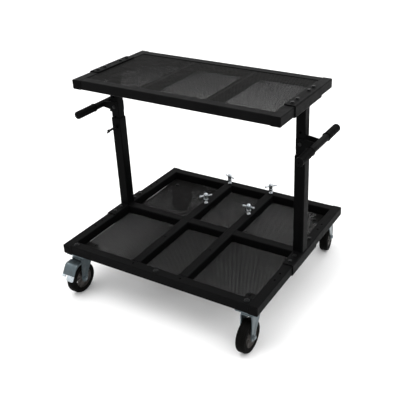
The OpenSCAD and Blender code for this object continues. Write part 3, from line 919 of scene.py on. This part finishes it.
def grip_profile(inner, outer):
    """Section of a rubber grip along its bar: flange, finger ribs, domed end and vent hole."""
    high, low = GRIP_RADIUS, GRIP_RADIUS - GRIP_GROOVE
    profile = [(GRIP_BORE, inner + 0.2), (16.8, inner + 0.2), (17.7, inner + 0.9), (17.9, inner + 2)]
    profile += [(17.6, inner + 3.2), (16.8, inner + 4.2), (low + 0.1, inner + 5.2), (low, inner + 7.4)]
    start, stop = inner + 9, outer - 12
    ribs = 13
    pitch = (stop - start) / ribs
    for k in range(ribs):
        a = start + pitch * k
        profile += [(low, a), (high, a + pitch * 0.16)]
        profile += [(high, a + pitch * 0.66), (low, a + pitch * 0.82)]
    profile += [(low + 0.1, stop), (high, stop + 0.8), (high, outer - 5)]
    profile += [(high - 5 + 5 * c, outer - 5 + 5 * s) for c, s in quarter(5)[1:]]
    profile += [(3.2, outer), (2.5, outer - 0.6), (2.5, outer - 6.6), (GRIP_BORE, outer - 6.6)]
    return profile


def grips():
    low, high = box_of("handle_grips")
    bar_x, bar_z = high.x - GRIP_FLANGE, (low.z + high.z) / 2
    for side, sign in SIDES.items():
        for end, toward in (("front", -1), ("back", 1)):
            place = at(sign * bar_x, 0, bar_z) @ turned("X", -90 * toward)
            shape = Shape().add(lathe(grip_profile(GRIP_IN, high.y), 48, closed=True), place)
            name = f"{side}_{end}_grip"
            make(name, shape, "shelf", "grip_rubber", ["handle_grips"])


# ---- fasteners and plugs ----

BOLT_ACROSS = 13.0
WASHER_RADIUS = 8.0
HANDLE_FACE = 22.2  # outer face of a handle bracket, from the post's middle
PLATE_LOW = 175.0  # underside of a caster's mounting plate
SHEET_TOP = 182.0
TUBE_FLOOR = 182.5  # inside of a deck tube's lower wall
PLUG_HEAD = 2.0


def bolt_through(shape, x, y, top, bottom):
    """A hexagon bolt with washers and nut, through a bracket that reaches from bottom to top."""
    place = at(x, y, 0)
    for low, high in ((top, top + 1.2), (bottom - 1.2, bottom)):
        washer = [(4.2, low), (WASHER_RADIUS - 0.4, low), (WASHER_RADIUS, low + 0.3)]
        washer += [(WASHER_RADIUS, high - 0.3), (WASHER_RADIUS - 0.4, high), (4.2, high)]
        shape.add(lathe(washer, 36, closed=True), place)
    shape.add(hex_head(BOLT_ACROSS, top + 1.2, top + 5.3), place)
    shape.add(hex_head(BOLT_ACROSS, bottom - 6.5, bottom - 1.2, chamfer_low=True), place)
    shape.add(lathe([(BOLT_SHANK, bottom - 2), (BOLT_SHANK, top + 1)], 24), place)
    shape.add(thread(BOLT_THREAD, bottom - 8.0, bottom - 1.5), place)


def bracket_bolts():
    for tier, body in (("base", "deck"), ("top", "shelf")):
        low, high = box_of("left_" + tier + "_bracket")
        shape = Shape()
        for sign in SIDES.values():
            for y in BRACKET_BOLTS_Y:
                for s in (-1, 1):
                    bolt_through(shape, sign * RAIL_X, s * y, high.z, low.z)
        make(tier + "_bracket_bolts", shape, body, "black_fastener", [tier + "_bracket_fasteners"])


def button_screws():
    """Three button-head screws with hexagon sockets along the front rail."""
    washer_radius, head = 11.0, 6.6
    low, high = box_of("front_rail_bolts")
    reach = high.x - washer_radius
    shape = Shape()
    for k in (-1, 0, 1):
        place = at(k * reach, (low.y + high.y) / 2, high.z - head)
        washer = [(4.2, 0.05), (10.6, 0.05), (washer_radius, 0.4)]
        washer += [(washer_radius, 1.0), (10.6, 1.4), (4.2, 1.4)]
        shape.add(lathe(washer, 48, closed=True), place)
        crown = [(8.4, 1.4), (8.6, 2.4), (8.1, 3.8), (7.0, 5.2), (5.4, 6.2), (3.6, head)]
        shape.add(socket_head(crown, 2.6, 3.2), place)
        shape.add(lathe([(BOLT_SHANK, -17.5), (BOLT_SHANK, 2)], 24), place)
    make("front_rail_screws", shape, "deck", "black_fastener", ["front_rail_bolts"])


def socket_head(crown, socket, depth):
    """A domed head about Z with a hexagon socket of that radius and depth."""
    count = 48
    steps = [2 * math.pi * i / count for i in range(count)]
    rows = [[(r * math.cos(a), r * math.sin(a), z) for a in steps] for r, z in crown]
    flat = socket * math.cos(math.pi / 6)
    hexagon = [flat / math.cos((a % (math.pi / 3)) - math.pi / 6) for a in steps]
    top = crown[-1][1]
    for z in (top - 0.1, top - depth):
        rows.append([(r * math.cos(a), r * math.sin(a), z) for r, a in zip(hexagon, steps)])
    return lattice(rows, wrap=True, caps=True)


def handle_bolts():
    """The bolt through each handle bracket and its post, with its button head at the front."""
    low, high = box_of("handle_bracket_fasteners")
    shape = Shape()
    for sign in SIDES.values():
        front = at(sign * RAIL_X, 0, (low.z + high.z) / 2) @ turned("X", 90)
        seat = front @ at(0, 0, HANDLE_FACE)
        back = front @ at(0, 0, -HANDLE_FACE)
        crown = [(7.4, 0.1), (7.5, 0.8), (6.9, 2.4), (5.6, 3.8), (3.6, 4.5)]
        shape.add(socket_head(crown, 2.6, 3.0), seat)
        shape.add(lathe([(BOLT_SHANK, -HANDLE_FACE - 7), (BOLT_SHANK, HANDLE_FACE + 1)], 24), front)
        shape.add(hex_head(BOLT_ACROSS, -6.5, -1.0, chamfer_low=True), back)
        washer = [(4.2, -1), (WASHER_RADIUS, -1), (WASHER_RADIUS, -0.05), (4.2, -0.05)]
        shape.add(lathe(washer, 36, closed=True), back)
        shape.add(thread(BOLT_THREAD, -HANDLE_FACE - 9, -HANDLE_FACE - 6), front)
    make("handle_bracket_bolts", shape, "shelf", "black_fastener", ["handle_bracket_fasteners"])


def caster_bolts():
    """Bolts up through the mounting plates, with their nuts on the sheet or inside the tubes."""
    sheet_x, sheet_y = RAIL_X - TUBE_HALF, 360
    shape = Shape()
    for corner in CORNERS:
        swivel = joint_at(corner + "_swivel")
        for hx in (-1, 1):
            for hy in (-1, 1):
                x, y = swivel.x + hx * PLATE_HOLES[0], swivel.y + hy * PLATE_HOLES[1]
                place = at(x, y, 0)
                seat = SHEET_TOP if abs(x) < sheet_x and abs(y) < sheet_y else TUBE_FLOOR
                shape.add(hex_head(BOLT_ACROSS, -PLATE_LOW, 5.2 - PLATE_LOW), place @ turned("X", 180))
                shape.add(hex_head(BOLT_ACROSS, seat + 0.1, seat + 6.4, chamfer_low=True), place)
                shape.add(thread(BOLT_THREAD, seat + 6, seat + 9.5), place)
                shape.add(lathe([(BOLT_SHANK, PLATE_LOW - 1), (BOLT_SHANK, seat + 7)], 24), place)
    make("caster_bolts", shape, "deck", "black_fastener", ["caster_plate_fasteners"])


def plug_face(width, height):
    """A moulded plug head pointing along -Y: a rounded plate with a raised, crowned middle."""
    levels = [(0.0, 0.0, 4.0), (0.0, -1.2, 4.0), (0.5, -1.7, 3.8), (3.4, -1.7, 3.0), (4.2, -1.3, 2.6)]
    levels += [(6.0, -1.3, 2.4), (6.8, -1.8, 2.2), (9.0, -2.0, 2.0)]
    rows = []
    for inset, y, radius in levels:
        outline = rounded_outline(width - 2 * inset, height - 2 * inset, radius)
        rows.append([(x, y, z) for x, z in outline])
    return lattice(rows, wrap=True, caps=True)


def plugs():
    for tier in ("deck", "shelf"):
        node = tier + "_end_plugs"
        low, high = box_of(node)
        shape = Shape()
        for x in (low.x + TUBE_HALF, high.x - TUBE_HALF):
            for turn in (0, 180):
                place = turned("Z", turn) @ at(-x, low.y + PLUG_HEAD, (low.z + high.z) / 2)
                shape.add(plug_face(2 * TUBE_HALF, high.z - low.z), place)
        make(tier + "_tube_plugs", shape, tier, "plug_plastic", [node], sharp=28)


# ---- weld beads ----

POST_HALVES = (22, 19)  # half the outer post and half the inner one


def bead(shape, start, end, radius=2.6, ripple=3.4):
    """A weld bead from start to end: a round bar with a rippled surface."""
    start, end = Vector(start), Vector(end)
    length = (end - start).length
    count = max(4, int(length / 0.85))
    path = [start.lerp(end, i / count) for i in range(count + 1)]

    def radius_at(share):
        wave = 0.9 + 0.1 * abs(math.sin(math.pi * share * length / ripple))
        fade = min(1.0, 0.45 + min(share, 1 - share) * length / 3)
        return radius * wave * fade

    shape.add(sweep(path, radius_at, 8))


def square_beads(shape, x, y, z, half, radius=2.6):
    """Four beads round the foot of a square post."""
    ends = [(-half, -half), (half, -half), (half, half), (-half, half)]
    inset = 3.0
    for (ax, ay), (bx, by) in zip(ends, ends[1:] + ends[:1]):
        along = Vector((bx - ax, by - ay, 0)).normalized() * inset
        a, b = Vector((x + ax, y + ay, z)), Vector((x + bx, y + by, z))
        bead(shape, a + along, b - along, radius)


def welds():
    deck, shelf = Shape(), Shape()
    foot, head = box_of("left_outer_post")[0].z, box_of("left_inner_post")[1].z
    for sign in SIDES.values():
        square_beads(deck, sign * RAIL_X, 0, foot, POST_HALVES[0])
        square_beads(shelf, sign * RAIL_X, 0, head, POST_HALVES[1])
    frame_welds(deck, box_of("deck_front_rail"), box_of("deck_back_rail"))
    frame_welds(shelf, box_of("shelf_front_rail"), box_of("shelf_back_rail"))
    bar_welds(deck)
    member_welds(shelf)
    handle_welds(shelf)
    make("deck_welds", deck, "deck", "deck_paint", sharp=60)
    make("shelf_welds", shelf, "shelf", "shelf_paint", sharp=60)


def frame_welds(shape, front, back):
    """Where the front and back rails meet the end rails: inside corners and flat faces."""
    for (low, high), sign in ((front, -1), (back, 1)):
        inner = high.y if sign < 0 else low.y
        for x in (low.x, high.x):
            bead(shape, (x, inner, low.z + 4), (x, inner, high.z - 3), 2.4)
            for z, lift in ((high.z, -2.6), (low.z, 2.6)):
                bead(shape, (x, low.y + 4, z + lift), (x, high.y - 4, z + lift), 2.2)


def bar_welds(shape):
    """Upright beads where the bars meet the front and back rails and the cross member."""
    low, high = box_of("deck_bars")
    across = box_of("deck_cross_member")
    for sign in SIDES.values():
        for edge in (high.x, high.x - 2 * TUBE_HALF):
            x = sign * edge
            for y in (low.y, high.y, across[0].y, across[1].y):
                bead(shape, (x, y, low.z + 1), (x, y, high.z - 3), 2.2)
        for y in (across[0].y, across[1].y):
            bead(shape, (sign * across[1].x, y, low.z + 1), (sign * across[1].x, y, high.z - 3), 2.2)


def member_welds(shape):
    low, high = box_of("shelf_cross_members")
    for sign in SIDES.values():
        for edge in (high.x, high.x - 2 * TUBE_HALF):
            for y in (low.y, high.y):
                bead(shape, (sign * edge, y, low.z + 3), (sign * edge, y, high.z - 1), 2.2)


def handle_welds(shape):
    """Beads where the bracket plates end against the handle bars."""
    low, high = box_of("handle_bars")
    bar_r = (high.z - low.z) / 2
    bar_x, bar_z = high.x - bar_r, (low.z + high.z) / 2
    for sign in SIDES.values():
        for s in (-1, 1):
            arc = []
            for degrees in range(-56, 57, 4):
                u, v = polar(bar_r + 0.4, degrees)
                arc.append((sign * (bar_x - u), s * (HANDLE_FACE + 0.1), bar_z + v))
            shape.add(sweep(arc, lambda share: 1.3 + 0.2 * abs(math.sin(share * 30)), 8))


# ---- carried-over CAD nodes ----


def dress_nodes():
    """Gives each CAD node the finish of its record slot."""
    for subpart in frame["record"]["subparts"]:
        slots = frame["nodes"][subpart["node"]].data.materials
        slots.clear()
        slots.append(PAINT[subpart["material_slot"]])


# ---- studio ----

SKY_LOW = 0.75
SKY_HIGH = 1.3


def studio():
    scene = bpy.context.scene
    scene.view_settings.view_transform = "Standard"
    world = bpy.data.worlds.new("studio")
    scene.world = world
    world.use_nodes = True
    tree = world.node_tree
    direction = tree.nodes.new("ShaderNodeTexCoord")
    height = tree.nodes.new("ShaderNodeSeparateXYZ")
    fade = tree.nodes.new("ShaderNodeMapRange")
    fade.inputs["From Max"].default_value = 0.7
    fade.inputs["To Min"].default_value, fade.inputs["To Max"].default_value = SKY_LOW, SKY_HIGH
    tree.links.new(direction.outputs["Generated"], height.inputs[0])
    tree.links.new(height.outputs[2], fade.inputs["Value"])
    tree.links.new(fade.outputs[0], tree.nodes["Background"].inputs["Strength"])
    tree.nodes["Background"].inputs["Color"].default_value = (1, 1, 1, 1)
    floor_mesh = bpy.data.meshes.new("floor")
    reach = 60.0
    corners = [(-reach, -reach, 0), (reach, -reach, 0), (reach, reach, 0), (-reach, reach, 0)]
    floor_mesh.from_pydata(corners, [], [[0, 1, 2, 3]])
    floor_mesh.materials.append(studio_floor("studio_floor", FLOOR_TONE))
    floor = bpy.data.objects.new("floor", floor_mesh)
    scene.collection.objects.link(floor)
    softbox("key", (-0.8, -1.2, 3.8), 2.4, 60)
    softbox("fill", (3.6, -0.2, 2.2), 2.0, 30)
    softbox("back", (0.3, 3.4, 3.2), 2.4, 40)


def softbox(name, place, size, power):
    """A square area light that faces the middle of the part."""
    data = bpy.data.lights.new(name, "AREA")
    data.size = size
    data.energy = power
    lamp = bpy.data.objects.new(name, data)
    lamp.location = place
    lamp.rotation_euler = (Vector((0, 0, 0.4)) - Vector(place)).to_track_quat("-Z", "Y").to_euler()
    bpy.context.scene.collection.objects.link(lamp)


def camera():
    az, el, roll = (math.radians(a) for a in (VIEW_AZIMUTH, VIEW_ELEVATION, VIEW_ROLL))
    back = Vector((math.sin(az) * math.cos(el), -math.cos(az) * math.cos(el), math.sin(el)))
    level = Vector((math.cos(az), math.sin(az), 0))
    upright = back.cross(level)
    right = level * math.cos(roll) + upright * math.sin(roll)
    up = upright * math.cos(roll) - level * math.sin(roll)
    data = bpy.data.cameras.new("camera")
    data.lens = VIEW_LENS
    data.sensor_width = 36
    data.shift_x, data.shift_y = VIEW_SHIFT
    eye = bpy.data.objects.new("camera", data)
    turn = Matrix((right, up, back)).transposed().to_4x4()
    eye.matrix_world = Matrix.Translation(Vector(VIEW_TARGET) + back * VIEW_DISTANCE) @ turn
    bpy.context.scene.collection.objects.link(eye)
    bpy.context.scene.camera = eye


camera()
studio()
dress_nodes()
sheets()
casters()
clamping_screws()
lock_pins()
grips()
bracket_bolts()
button_screws()
handle_bolts()
caster_bolts()
plugs()
welds()
